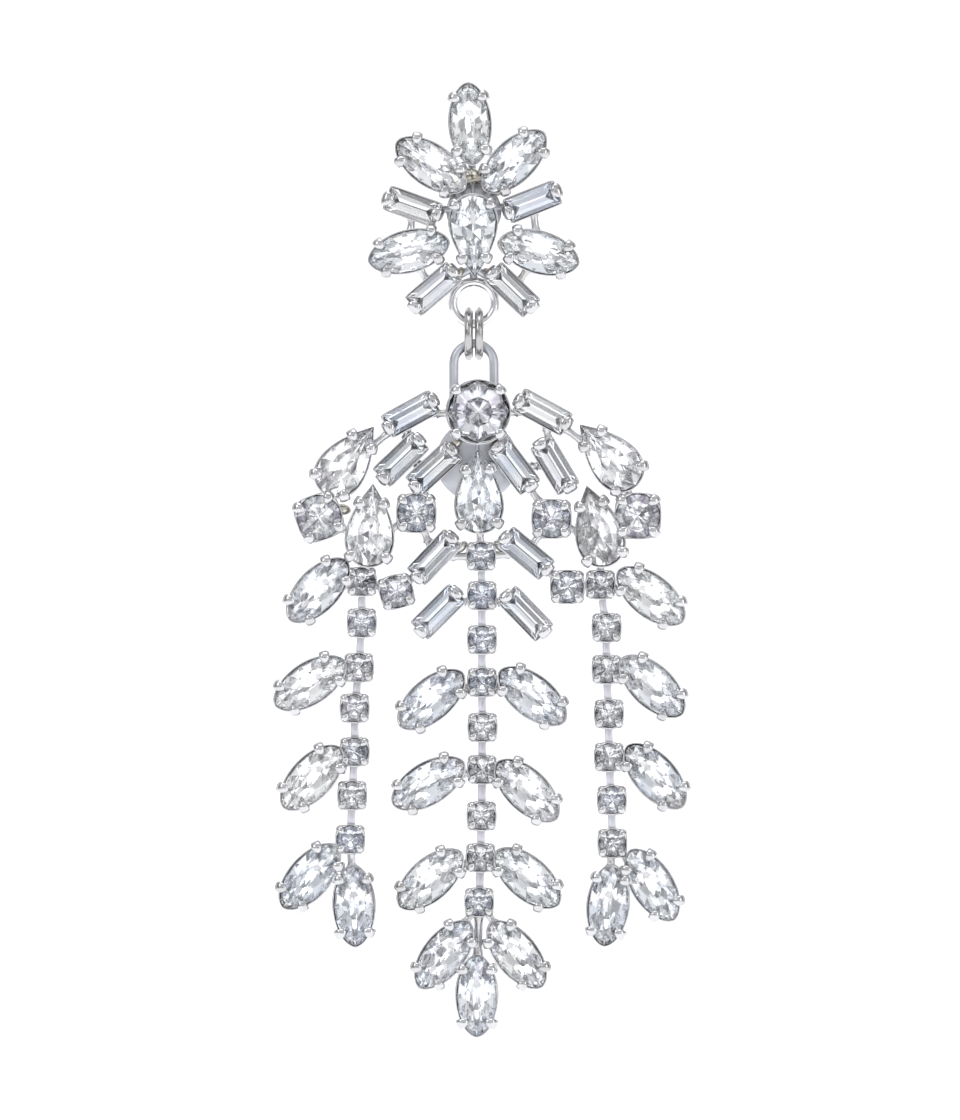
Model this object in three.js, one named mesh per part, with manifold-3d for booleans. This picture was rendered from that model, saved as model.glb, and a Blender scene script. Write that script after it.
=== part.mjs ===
// Chandelier earring, in millimetres, +Z up. The stones face -Y and the ear post runs along +Y.
// The origin is where the post leaves the back of its pad, behind the middle of the stud.
import * as THREE from 'three';
import { mergeVertices } from 'three/addons/utils/BufferGeometryUtils.js';
import Module from 'manifold-3d';

const wasm = await Module();
wasm.setup();

// Clearances and metal sizes
const stoneGap = 0.06;
const settingWall = 0.18;
const settingFloor = 0.35;
const floorShare = 0.8;
const rimRise = 0.1;
const backingDepth = 0.6;
const backingBite = 0.15;
const strandGap = 0.15;
const mergeStep = 1e-4;

// Stone cuts: plan size, heights over and under the girdle, table share
const marquise = {
  outline: marquiseOutline,
  prongs: marquiseProngs,
  length: 8.33,
  width: 4.13,
  crown: 0.8,
  pavilion: 1.4,
  table: 0.55,
};
const pear = {
  outline: pearOutline,
  prongs: pearProngs,
  radius: 2.39,
  tip: 5.96,
  crown: 0.85,
  pavilion: 1.6,
  table: 0.55,
};
const baguette = {
  outline: baguetteOutline,
  prongs: baguetteProngs,
  length: 5.38,
  width: 2.33,
  crown: 0.5,
  pavilion: 1.0,
  table: 0.62,
};
const largeRound = {
  outline: roundOutline,
  prongs: roundProngs,
  sides: 12,
  radius: 3.19,
  crown: 1.1,
  pavilion: 2.1,
  table: 0.55,
};
const roundSizes = { outer: 2.29, inner: 1.94, low: 1.64, cup: 1.39 };
const roundCut = { sides: 8, crownLeast: 0.16, crownShare: 0.3, pavilionShare: 0.66, table: 0.55 };
const outerRound = smallRound(roundSizes.outer);
const innerRound = smallRound(roundSizes.inner);
const lowRound = smallRound(roundSizes.low);
const cupRound = smallRound(roundSizes.cup);

// Stud: ten stones round a hub. right and up are mm from the post, turn is degrees from right
const studStones = [
  { name: 'stud_marquise_top', cut: marquise, right: -0.4, up: 8.8, turn: 93.5 },
  { name: 'stud_marquise_upper_left', cut: marquise, right: -4.5, up: 4.5, turn: 145 },
  { name: 'stud_marquise_upper_right', cut: marquise, right: 4.2, up: 4.9, turn: 44 },
  { name: 'stud_marquise_lower_left', cut: marquise, right: -6.8, up: -4.5, turn: 194.5 },
  { name: 'stud_marquise_lower_right', cut: marquise, right: 6.8, up: -4.6, turn: -17 },
  { name: 'stud_baguette_left', cut: baguette, right: -6.4, up: 0.2, turn: 160.5 },
  { name: 'stud_baguette_right', cut: baguette, right: 6.1, up: 0.7, turn: 21.5 },
  { name: 'stud_baguette_lower_left', cut: baguette, right: -4.2, up: -8.4, turn: 220.5 },
  { name: 'stud_baguette_lower_right', cut: baguette, right: 4.0, up: -8.5, turn: -44 },
  { name: 'stud_pear', cut: pear, right: -0.1, up: -1.1, turn: -88, lift: 0.5 },
];
const studHub = { name: 'hub', right: 0, up: -0.2, radius: 2.9 };
const studRing = { right: 0, up: -9.8, radius: 2.2, wire: 0.5 };
const studBridges = [
  { from: 'hub', to: 'stud_marquise_top' },
  { from: 'hub', to: 'stud_marquise_upper_left' },
  { from: 'hub', to: 'stud_marquise_upper_right' },
  { from: 'hub', to: 'stud_baguette_left' },
  { from: 'hub', to: 'stud_baguette_right' },
  { from: 'stud_baguette_left', to: 'stud_marquise_lower_left' },
  { from: 'stud_baguette_right', to: 'stud_marquise_lower_right' },
  { from: 'stud_marquise_lower_left', to: 'stud_baguette_lower_left' },
  { from: 'stud_marquise_lower_right', to: 'stud_baguette_lower_right' },
  { from: 'stud_baguette_lower_left', to: 'stud_pear_tip' },
  { from: 'stud_baguette_lower_right', to: 'stud_pear_tip' },
  { from: 'hub', to: 'stud_pear_tip' },
  { from: 'stud_pear_tip', to: 'ring_top' },
];

// Drop: twenty-five stones in one soldered frame under a bail
const dropStones = [
  { name: 'drop_round_large', cut: largeRound, right: 0.45, up: -21.25, turn: 0 },
  { name: 'drop_baguette_top_left', cut: baguette, right: -6.6, up: -21.45, turn: 208.5 },
  { name: 'drop_baguette_top_right', cut: baguette, right: 7.2, up: -21.25, turn: -28.5 },
  { name: 'drop_baguette_outer_left', cut: baguette, right: -7.6, up: -26.15, turn: 224 },
  { name: 'drop_baguette_outer_right', cut: baguette, right: 8.45, up: -26.85, turn: -59 },
  { name: 'drop_baguette_inner_left', cut: baguette, right: -4.2, up: -27.1, turn: 222.5 },
  { name: 'drop_baguette_inner_right', cut: baguette, right: 4.2, up: -26.9, turn: -53 },
  { name: 'drop_baguette_lower_left', cut: baguette, right: -4.1, up: -36.4, turn: 226.5 },
  { name: 'drop_baguette_lower_right', cut: baguette, right: 5.45, up: -36.0, turn: -40 },
  { name: 'drop_pear_centre', cut: pear, right: 0.55, up: -31.4, turn: 91.7 },
  { name: 'drop_pear_outer_left', cut: pear, right: -14.15, up: -27.7, turn: 53 },
  { name: 'drop_pear_outer_right', cut: pear, right: 15.2, up: -27.1, turn: 132.5 },
  { name: 'drop_pear_lower_left', cut: pear, right: -10.9, up: -34.9, turn: 86.5 },
  { name: 'drop_pear_lower_right', cut: pear, right: 13.3, up: -34.9, turn: 104.5 },
  { name: 'drop_round_outer_left', cut: outerRound, right: -16.15, up: -32.25, turn: 20 },
  { name: 'drop_round_outer_right', cut: outerRound, right: 17.1, up: -32.1, turn: 0 },
  { name: 'drop_round_inner_left', cut: innerRound, right: -6.0, up: -31.8, turn: 0 },
  { name: 'drop_round_inner_right', cut: innerRound, right: 8.1, up: -32.4, turn: 0 },
  { name: 'drop_round_lower_left', cut: lowRound, right: -8.1, up: -40.0, turn: 15 },
  { name: 'drop_round_lower_right', cut: lowRound, right: 9.75, up: -39.5, turn: 0 },
  { name: 'drop_cup_centre', cut: cupRound, right: 0.75, up: -36.3, turn: 0 },
  { name: 'drop_cup_left', cut: cupRound, right: -11.7, up: -38.95, turn: 0 },
  { name: 'drop_cup_right', cut: cupRound, right: 13.2, up: -39.25, turn: 0 },
  { name: 'drop_marquise_left', cut: marquise, right: -16.25, up: -39.85, turn: 226.5 },
  { name: 'drop_marquise_right', cut: marquise, right: 18.45, up: -40.45, turn: -38.5 },
];
const backDisc = { name: 'disc', right: 0.3, up: -26.3, radius: 4.3 };
const bail = { right: 0, up: -16.15, radius: 2.1, wire: 0.5, legs: 5.35 };
const dropBridges = [
  { from: 'drop_round_large', to: 'disc' },
  { from: 'drop_round_large', to: 'drop_baguette_top_left' },
  { from: 'drop_round_large', to: 'drop_baguette_top_right' },
  { from: 'disc', to: 'drop_baguette_inner_left' },
  { from: 'disc', to: 'drop_baguette_inner_right' },
  { from: 'disc', to: 'drop_pear_centre' },
  { from: 'drop_baguette_top_left', to: 'drop_baguette_outer_left' },
  { from: 'drop_baguette_top_right', to: 'drop_baguette_outer_right' },
  { from: 'drop_baguette_top_left', to: 'drop_pear_outer_left' },
  { from: 'drop_baguette_top_right', to: 'drop_pear_outer_right' },
  { from: 'drop_baguette_outer_left', to: 'drop_baguette_inner_left' },
  { from: 'drop_baguette_outer_right', to: 'drop_baguette_inner_right' },
  { from: 'drop_baguette_inner_left', to: 'drop_round_inner_left' },
  { from: 'drop_baguette_inner_right', to: 'drop_round_inner_right' },
  { from: 'drop_pear_outer_left', to: 'drop_round_outer_left' },
  { from: 'drop_pear_outer_right', to: 'drop_round_outer_right' },
  { from: 'drop_round_outer_left', to: 'drop_pear_lower_left' },
  { from: 'drop_round_outer_right', to: 'drop_pear_lower_right' },
  { from: 'drop_round_inner_left', to: 'drop_pear_lower_left' },
  { from: 'drop_round_inner_right', to: 'drop_pear_lower_right' },
  { from: 'drop_round_inner_left', to: 'drop_baguette_lower_left' },
  { from: 'drop_round_inner_right', to: 'drop_baguette_lower_right' },
  { from: 'drop_pear_centre', to: 'drop_cup_centre' },
  { from: 'drop_cup_centre', to: 'drop_baguette_lower_left' },
  { from: 'drop_cup_centre', to: 'drop_baguette_lower_right' },
  { from: 'drop_baguette_lower_left', to: 'drop_round_lower_left' },
  { from: 'drop_baguette_lower_right', to: 'drop_round_lower_right' },
  { from: 'drop_round_lower_left', to: 'drop_cup_left' },
  { from: 'drop_round_lower_right', to: 'drop_cup_right' },
  { from: 'drop_pear_lower_left', to: 'drop_cup_left' },
  { from: 'drop_pear_lower_right', to: 'drop_cup_right' },
  { from: 'drop_cup_left', to: 'drop_marquise_left' },
  { from: 'drop_cup_right', to: 'drop_marquise_right' },
];

// Strands: cups from the top down, and the stones soldered beside them, each to the cup of that number
const strands = [
  {
    name: 'centre_strand',
    hangsFrom: 'drop_cup_centre',
    cups: [
      { right: 0.85, up: -40.4 },
      { right: 0.85, up: -45.0 },
      { right: 0.85, up: -49.45 },
      { right: 0.9, up: -54.15 },
      { right: 0.85, up: -58.55 },
      { right: 0.8, up: -63.4 },
      { right: 0.7, up: -67.75 },
      { right: 0.55, up: -72.4 },
    ],
    leaves: [
      { cup: 1, cut: baguette, right: -3.7, up: -42.1, turn: 225 },
      { cup: 1, cut: baguette, right: 5.4, up: -42.3, turn: -46 },
      { cup: 3, cut: marquise, right: -4.45, up: -51.25, turn: 220.5 },
      { cup: 3, cut: marquise, right: 6.1, up: -50.9, turn: -38.5 },
      { cup: 5, cut: marquise, right: -4.75, up: -60.0, turn: 211 },
      { cup: 5, cut: marquise, right: 5.55, up: -60.75, turn: -44 },
      { cup: 7, cut: marquise, right: -4.55, up: -70.0, turn: 221.5 },
      { cup: 7, cut: marquise, right: 5.6, up: -69.85, turn: -41 },
      { cup: 8, cut: marquise, right: -3.1, up: -77.85, turn: 232 },
      { cup: 8, cut: marquise, right: 4.45, up: -77.85, turn: -51 },
      { cup: 8, cut: marquise, right: 0.3, up: -82.15, turn: -90 },
    ],
  },
  {
    name: 'left_strand',
    hangsFrom: 'drop_cup_left',
    cups: [
      { right: -11.7, up: -43.25 },
      { right: -12.0, up: -47.9 },
      { right: -12.45, up: -52.15 },
      { right: -12.45, up: -56.7 },
      { right: -12.7, up: -61.25 },
      { right: -12.9, up: -65.85 },
    ],
    leaves: [
      { cup: 2, cut: marquise, right: -17.1, up: -49.55, turn: 213 },
      { cup: 4, cut: marquise, right: -16.9, up: -59.4, turn: 227 },
      { cup: 6, cut: marquise, right: -17.1, up: -69.7, turn: 228.5 },
      { cup: 6, cut: marquise, right: -12.5, up: -72.75, turn: -88 },
    ],
  },
  {
    name: 'right_strand',
    hangsFrom: 'drop_cup_right',
    cups: [
      { right: 13.85, up: -43.75 },
      { right: 13.85, up: -48.1 },
      { right: 14.1, up: -52.75 },
      { right: 14.1, up: -57.25 },
      { right: 14.4, up: -61.75 },
      { right: 14.45, up: -66.25 },
    ],
    leaves: [
      { cup: 2, cut: marquise, right: 18.6, up: -49.85, turn: -43 },
      { cup: 4, cut: marquise, right: 18.9, up: -59.25, turn: -47.5 },
      { cup: 6, cut: marquise, right: 18.6, up: -70.6, turn: -58 },
      { cup: 6, cut: marquise, right: 14.0, up: -72.7, turn: -96 },
    ],
  },
];

// Wires, bridges and the ear post
const bridgeWidth = 1.1;
const connector = { width: 0.85, low: 0.3, high: 0.9 };
const ringLift = -0.1;
const wireSides = 6;
const ringSides = 16;
const jump = { wire: 0.45, apart: 1.1, seat: 1.3 };
const post = { radius: 0.45, length: 11, sides: 12, gap: 0.1 };
const pad = { radius: 2.6, thickness: 0.6, sides: 16 };
const prong = { radius: 0.42, low: 0.05, high: 0.6, inset: 0.15 };

const silverMetal = { color: 0xc6cad0, roughness: 0.2, metalness: 1 };
const clearCrystal = { color: 0xe8edf3, roughness: 0.05, metalness: 0 };

function smallRound(radius) {
  return {
    outline: roundOutline,
    prongs: roundProngs,
    sides: roundCut.sides,
    radius,
    crown: roundCut.crownLeast + roundCut.crownShare * radius,
    pavilion: roundCut.pavilionShare * radius,
    table: roundCut.table,
  };
}

// Outlines: points counter-clockwise, seen from the front, grown by the same width all round
function marquiseOutline(cut, grow) {
  const degrees = [0, 48, 90, 132, 180, 228, 270, 312];
  return degrees.map((angle) => marquisePoint(cut, grow, THREE.MathUtils.degToRad(angle)));
}

function marquisePoint(cut, grow, angle) {
  const fullness = 1.25;
  const across = Math.sign(Math.sin(angle)) * Math.abs(Math.sin(angle)) ** fullness;
  return new THREE.Vector2((cut.length / 2 + grow) * Math.cos(angle), (cut.width / 2 + grow) * across);
}

function pearOutline(cut, grow) {
  const shoulder = THREE.MathUtils.degToRad(66);
  const arcSteps = 6;
  const sideBulge = 1.3;
  const tipGrow = 1.5;
  const radius = cut.radius + grow;
  const tip = new THREE.Vector2(cut.tip + tipGrow * grow, 0);
  const arc = [];
  for (let i = 0; i <= arcSteps; i += 1) {
    const angle = shoulder + (i / arcSteps) * 2 * (Math.PI - shoulder);
    arc.push(new THREE.Vector2(radius * Math.cos(angle), radius * Math.sin(angle)));
  }
  const upperSide = arc[0].clone().lerp(tip, 0.5);
  upperSide.y *= sideBulge;
  const lowerSide = new THREE.Vector2(upperSide.x, -upperSide.y);
  return [tip, upperSide, ...arc, lowerSide];
}

function baguetteOutline(cut, grow) {
  const x = cut.length / 2 + grow;
  const y = cut.width / 2 + grow;
  return [
    new THREE.Vector2(x, -y),
    new THREE.Vector2(x, y),
    new THREE.Vector2(-x, y),
    new THREE.Vector2(-x, -y),
  ];
}

function roundOutline(cut, grow) {
  const radius = (cut.radius + grow) / Math.sqrt(Math.cos(Math.PI / cut.sides));
  const points = [];
  for (let i = 0; i < cut.sides; i += 1) {
    const angle = ((i + 0.5) / cut.sides) * 2 * Math.PI;
    points.push(new THREE.Vector2(radius * Math.cos(angle), radius * Math.sin(angle)));
  }
  return points;
}

// Prong places on a stone's outline, each with the way it faces
function marquiseProngs(cut) {
  const along = THREE.MathUtils.degToRad(48);
  return [along, Math.PI - along, Math.PI + along, -along].map((angle) => {
    const at = marquisePoint(cut, 0, angle);
    const facing = Math.atan2(at.y / cut.width ** 2, at.x / cut.length ** 2);
    return { at, facing };
  });
}

function pearProngs(cut) {
  const roundEnd = THREE.MathUtils.degToRad(125);
  const sideFacing = THREE.MathUtils.degToRad(66);
  const sideAt = 0.62;
  const sideShare = 0.56;
  const places = [];
  for (const side of [1, -1]) {
    const onArc = side * roundEnd;
    places.push({
      at: new THREE.Vector2(cut.radius * Math.cos(onArc), cut.radius * Math.sin(onArc)),
      facing: onArc,
    });
    places.push({
      at: new THREE.Vector2(cut.tip * sideAt, side * cut.radius * sideShare),
      facing: side * sideFacing,
    });
  }
  return places;
}

function baguetteProngs(cut) {
  const offCentre = 0.15;
  return [
    { at: new THREE.Vector2(cut.length / 2, offCentre), facing: 0 },
    { at: new THREE.Vector2(-cut.length / 2, -offCentre), facing: Math.PI },
  ];
}

function roundProngs(cut) {
  return [45, 135, 225, 315].map((degrees) => {
    const facing = THREE.MathUtils.degToRad(degrees);
    return {
      at: new THREE.Vector2(cut.radius * Math.cos(facing), cut.radius * Math.sin(facing)),
      facing,
    };
  });
}

// A closed body of level rings with the same count of points, from the lowest to the highest
function ringStack(rings) {
  const count = rings[0].outline.length;
  const positions = [];
  for (const { outline, height } of rings) {
    outline.forEach((point) => positions.push(point.x, point.y, height));
  }
  const faces = [];
  for (let ring = 0; ring + 1 < rings.length; ring += 1) {
    for (let i = 0; i < count; i += 1) {
      const here = ring * count + i;
      const next = ring * count + ((i + 1) % count);
      faces.push(here, next, next + count, here, next + count, here + count);
    }
  }
  const top = (rings.length - 1) * count;
  for (let i = 1; i + 1 < count; i += 1) {
    faces.push(0, i + 1, i);
    faces.push(top, top + i, top + i + 1);
  }
  return indexed(positions, faces);
}

function indexed(positions, faces) {
  const geometry = new THREE.BufferGeometry();
  geometry.setAttribute('position', new THREE.Float32BufferAttribute(positions, 3));
  geometry.setIndex(faces);
  return geometry;
}

function scaled(outline, share) {
  return outline.map((point) => point.clone().multiplyScalar(share));
}

// A cut stone with its girdle edge at height 0, a flat table on top and a small flat culet below
function stoneGeometry(cut, grow) {
  const culetShare = 0.12;
  const outline = cut.outline(cut, grow);
  return ringStack([
    { outline: scaled(outline, culetShare), height: -cut.pavilion - grow },
    { outline, height: 0 },
    { outline: scaled(outline, cut.table), height: cut.crown + grow },
  ]);
}

// Height of a stone's girdle over the back plane, on which every setting stands
function seatHeight(stone) {
  return settingFloor + stoneGap + stone.cut.pavilion + (stone.lift ?? 0);
}

// Where a stone lies in the face: x to the right, y up, z towards the viewer
function stonePlace(stone) {
  return new THREE.Matrix4()
    .makeRotationZ(THREE.MathUtils.degToRad(stone.turn))
    .setPosition(stone.right, stone.up, seatHeight(stone));
}

function solidOf(geometry, place = new THREE.Matrix4()) {
  const bare = geometry.clone().applyMatrix4(place);
  bare.deleteAttribute('normal');
  bare.deleteAttribute('uv');
  const merged = mergeVertices(bare, mergeStep);
  return new wasm.Manifold(
    new wasm.Mesh({
      numProp: 3,
      vertProperties: new Float32Array(merged.attributes.position.array),
      triVerts: new Uint32Array(merged.index.array),
    }),
  );
}

function geometryOf(solid) {
  const mesh = solid.getMesh();
  return indexed(mesh.vertProperties, Array.from(mesh.triVerts));
}

function joined(solids) {
  return solids.reduce((sum, next) => sum.add(next));
}

// The largest connected shell of a body: slivers cut loose and closed pinholes between walls are left out
function soundBody(solid) {
  return solid.decompose().reduce((largest, shell) => (shell.volume() > largest.volume() ? shell : largest));
}

// The metal cup under a stone, still without its pocket, as rings from its floor to its rim
function cupRings(stone) {
  const outline = stone.cut.outline(stone.cut, stoneGap + settingWall);
  return [
    { outline: scaled(outline, floorShare), height: -seatHeight(stone) },
    { outline, height: rimRise },
  ];
}

// A prong is a three-sided nub with its flat side outwards and its edge over the crown
function prongGeometry({ at, facing }) {
  const outwards = stoneGap + settingWall - prong.inset - prong.radius / 2;
  const nub = new THREE.CylinderGeometry(prong.radius, prong.radius, prong.high - prong.low, 3);
  nub.rotateX(Math.PI / 2);
  nub.rotateZ(facing - Math.PI / 2);
  nub.translate(at.x, at.y, (prong.high + prong.low) / 2);
  return nub.translate(outwards * Math.cos(facing), outwards * Math.sin(facing), 0);
}

function settingSolid(stone) {
  const place = stonePlace(stone);
  const prongs = stone.cut.prongs(stone.cut);
  return joined([
    solidOf(ringStack(cupRings(stone)), place),
    ...prongs.map((spot) => solidOf(prongGeometry(spot), place)),
  ]);
}

// The same setting with its stone fused in, for the strands
function fusedSetting(stone) {
  const { cut } = stone;
  const [cupFloor, rim] = cupRings(stone);
  const outline = cut.outline(cut, 0);
  const place = stonePlace(stone);
  const body = ringStack([
    cupFloor,
    rim,
    { outline, height: rim.height },
    { outline: scaled(outline, cut.table), height: cut.crown },
  ]);
  const prongs = cut.prongs(cut);
  return joined([solidOf(body, place), ...prongs.map((spot) => solidOf(prongGeometry(spot), place))]);
}

function pocketSolid(stone) {
  return solidOf(stoneGeometry(stone.cut, stoneGap), stonePlace(stone));
}

// A straight bar between two places, between two heights
function barSolid(from, to, width, low, high) {
  const start = new THREE.Vector2(from.right, from.up);
  const run = new THREE.Vector2(to.right, to.up).sub(start);
  const bar = new THREE.BoxGeometry(run.length(), width, high - low);
  bar.translate(run.length() / 2, 0, (low + high) / 2);
  bar.rotateZ(run.angle());
  return solidOf(bar.translate(start.x, start.y, 0));
}

function backBridge(from, to) {
  return barSolid(from, to, bridgeWidth, -backingDepth, backingBite);
}

function discSolid({ right, up, radius }) {
  const disc = new THREE.CylinderGeometry(radius, radius, backingDepth + backingBite, ringSides);
  disc.rotateX(Math.PI / 2);
  return solidOf(disc.translate(right, up, (backingBite - backingDepth) / 2));
}

function ringGeometry(radius, wire) {
  return new THREE.TorusGeometry(radius, wire, wireSides, ringSides);
}

// The bail: an arch of wire whose two legs run down behind the large round stone
function bailSolid() {
  const archSteps = 8;
  const pathSteps = 14;
  const points = [];
  for (let i = 0; i <= archSteps; i += 1) {
    const angle = (i / archSteps) * Math.PI;
    points.push(new THREE.Vector3(bail.radius * Math.cos(angle), bail.radius * Math.sin(angle), 0));
  }
  points.unshift(new THREE.Vector3(bail.radius, -bail.legs, 0));
  points.push(new THREE.Vector3(-bail.radius, -bail.legs, 0));
  const section = new THREE.Shape();
  for (let i = 0; i < wireSides; i += 1) {
    const angle = (i / wireSides) * 2 * Math.PI;
    const corner = [bail.wire * Math.cos(angle), bail.wire * Math.sin(angle)];
    if (i === 0) section.moveTo(...corner);
    else section.lineTo(...corner);
  }
  const arch = new THREE.CatmullRomCurve3(points, false, 'centripetal');
  const wire = new THREE.ExtrudeGeometry(section, { extrudePath: arch, steps: pathSteps });
  return solidOf(wire.translate(bail.right, bail.up, ringLift));
}

function placesByName(stones, extra) {
  return Object.fromEntries([...stones, ...extra].map((row) => [row.name, row]));
}

function withPockets(body, stones) {
  return stones.reduce((rest, stone) => rest.subtract(pocketSolid(stone)), body);
}

function studSolid() {
  const tipReach = 5;
  const pearStone = studStones.find(({ name }) => name === 'stud_pear');
  const places = placesByName(studStones, [
    studHub,
    { name: 'stud_pear_tip', right: pearStone.right, up: pearStone.up - tipReach },
    { name: 'ring_top', right: studRing.right, up: studRing.up + studRing.radius },
  ]);
  const body = joined([
    discSolid(studHub),
    ...studStones.map(settingSolid),
    ...studBridges.map(({ from, to }) => backBridge(places[from], places[to])),
    solidOf(ringGeometry(studRing.radius, studRing.wire).translate(studRing.right, studRing.up, ringLift)),
  ]);
  return withPockets(body, studStones);
}

function dropSolid() {
  const places = placesByName(dropStones, [backDisc]);
  const body = joined([
    discSolid(backDisc),
    bailSolid(),
    ...dropStones.map(settingSolid),
    ...dropBridges.map(({ from, to }) => backBridge(places[from], places[to])),
  ]);
  return withPockets(body, dropStones);
}

// One strand: cups and leaf stones fused with the bars between them
function strandSolid({ hangsFrom, cups, leaves }) {
  const cupStones = cups.map((cup) => ({ cut: cupRound, turn: 0, ...cup }));
  const above = dropStones.find(({ name }) => name === hangsFrom);
  const toAbove = new THREE.Vector2(above.right - cups[0].right, above.up - cups[0].up);
  const cupReach = cupRound.radius + stoneGap + settingWall;
  toAbove.setLength(toAbove.length() - cupReach - strandGap);
  const topEnd = { right: cups[0].right + toAbove.x, up: cups[0].up + toAbove.y };
  const link = (from, to) => barSolid(from, to, connector.width, connector.low, connector.high);
  return joined([
    ...cupStones.map(fusedSetting),
    ...leaves.map(fusedSetting),
    link(cups[0], topEnd),
    ...cups.slice(1).map((cup, i) => link(cups[i], cup)),
    ...leaves.map((leaf) => link(cups[leaf.cup - 1], leaf)),
  ]);
}

function namedMesh(name, geometry, finish) {
  const mesh = new THREE.Mesh(geometry, new THREE.MeshStandardMaterial(finish));
  mesh.name = name;
  return mesh;
}

function stoneMesh(stone) {
  const mesh = namedMesh(stone.name, stoneGeometry(stone.cut, 0), clearCrystal);
  mesh.position.set(stone.right, stone.up, seatHeight(stone));
  mesh.rotation.z = THREE.MathUtils.degToRad(stone.turn);
  return mesh;
}

// Two plain rings side by side, each round the stud's ring above and the bail below
function jumpRings() {
  const studWire = studRing.up - studRing.radius;
  const bailWire = bail.up + bail.radius;
  const radius = (studWire - bailWire + 2 * jump.seat) / 2;
  return ['left', 'right'].map((side) => {
    const ring = namedMesh(`jump_ring_${side}`, ringGeometry(radius, jump.wire), silverMetal);
    const aside = side === 'left' ? -jump.apart / 2 : jump.apart / 2;
    ring.position.set(studRing.right + aside, (studWire + bailWire) / 2, ringLift);
    ring.rotation.y = Math.PI / 2;
    return ring;
  });
}

// The ear post on its round pad, one turned piece along +Y, with the pad's back at the origin
function earPost() {
  const start = -pad.thickness / 2;
  const plate = new THREE.CylinderGeometry(pad.radius, pad.radius, pad.thickness, pad.sides);
  const pin = new THREE.CylinderGeometry(post.radius, post.radius, post.length - start, post.sides);
  plate.translate(0, start, 0);
  pin.translate(0, (start + post.length) / 2, 0);
  return namedMesh('ear_post', geometryOf(solidOf(plate).add(solidOf(pin))), silverMetal);
}

const face = new THREE.Group();
face.rotation.x = Math.PI / 2;
face.position.y = -(pad.thickness + post.gap + backingDepth);
face.add(namedMesh('stud_setting', geometryOf(soundBody(studSolid())), silverMetal));
face.add(namedMesh('drop_setting', geometryOf(soundBody(dropSolid())), silverMetal));
for (const strand of strands) {
  face.add(namedMesh(strand.name, geometryOf(soundBody(strandSolid(strand))), silverMetal));
}
face.add(...studStones.map(stoneMesh), ...dropStones.map(stoneMesh), ...jumpRings());

const earring = new THREE.Group();
earring.add(face, earPost());

export default earring;
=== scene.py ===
import math
import random

import bmesh
import bpy
from mathutils import Matrix, Vector


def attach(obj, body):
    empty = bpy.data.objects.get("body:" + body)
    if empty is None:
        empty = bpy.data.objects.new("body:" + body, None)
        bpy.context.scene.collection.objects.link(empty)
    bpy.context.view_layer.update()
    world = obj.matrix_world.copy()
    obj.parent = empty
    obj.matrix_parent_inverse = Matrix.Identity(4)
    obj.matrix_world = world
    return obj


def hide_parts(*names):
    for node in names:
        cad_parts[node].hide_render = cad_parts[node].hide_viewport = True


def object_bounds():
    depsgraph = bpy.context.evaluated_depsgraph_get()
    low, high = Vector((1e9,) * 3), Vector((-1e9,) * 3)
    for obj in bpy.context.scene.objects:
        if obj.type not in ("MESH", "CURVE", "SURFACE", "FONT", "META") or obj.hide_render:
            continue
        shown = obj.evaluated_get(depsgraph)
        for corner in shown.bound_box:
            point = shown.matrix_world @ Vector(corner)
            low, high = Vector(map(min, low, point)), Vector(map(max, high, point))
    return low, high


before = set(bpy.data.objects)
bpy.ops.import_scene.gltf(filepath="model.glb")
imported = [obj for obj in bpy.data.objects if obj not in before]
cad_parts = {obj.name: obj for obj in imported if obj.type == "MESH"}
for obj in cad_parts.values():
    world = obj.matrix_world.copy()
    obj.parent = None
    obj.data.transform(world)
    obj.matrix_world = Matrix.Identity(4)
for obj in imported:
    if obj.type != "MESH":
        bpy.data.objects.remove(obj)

cadLow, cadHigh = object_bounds()
mm = 0.001
tiny = 1e-7
faceDepth = 1.3         # mm from the pad's back plane to the back plane of the settings
settingSteps = 40       # points round a setting
bevelShare = 0.3        # where the middle row of a rounded edge lies, as a share of the rounding
smoothAngles = dict(metal=38, wire=60)
print("frame loaded")

# Cut stones in mm, as in the frame: plan size, heights over and under the girdle, main facets; table, keel
# and low edge are shares of the plan, and fullness rounds the marquise's ends
cuts = {
    "marquise": dict(length=8.33, width=4.13, fullness=1.14, crown=0.8, pavilion=1.4, mains=8,
                     table=0.58, keel=0.5),
    "pear": dict(radius=2.39, tip=5.96, crown=0.85, pavilion=1.6, mains=8, table=0.56, keel=0.35),
    "baguette": dict(length=5.38, width=2.33, crown=0.5, pavilion=1.0),
    "largeRound": dict(radius=3.19, crown=1.1, pavilion=2.1, mains=8, table=0.5, lowEdge=0.86),
    "outerRound": dict(radius=2.29, crown=0.847, pavilion=1.511, mains=8, table=0.5, lowEdge=1.0),
    "innerRound": dict(radius=1.94, crown=0.742, pavilion=1.28, mains=8, table=0.5, lowEdge=1.0),
    "lowRound": dict(radius=1.64, crown=0.652, pavilion=1.082, mains=8, table=0.5, lowEdge=1.0),
    "cupRound": dict(radius=1.39, crown=0.577, pavilion=0.917, mains=8, table=0.5, lowEdge=1.0),
}
# Star and lower facets lie at shares of the height and of the plan; roll and pitch are degrees off level
facets = dict(girdle=0.05, starHeight=0.5, starShare=0.8, lowerDepth=0.68, lowerShare=0.38, seed=7,
              roll=2.0, boxRoll=5.5, pitch=1.4)
baguetteSteps = dict(corner=0.1, tableSide=0.36, tableEnd=0.5, keelSide=1.1, keelEnd=1.2)

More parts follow.
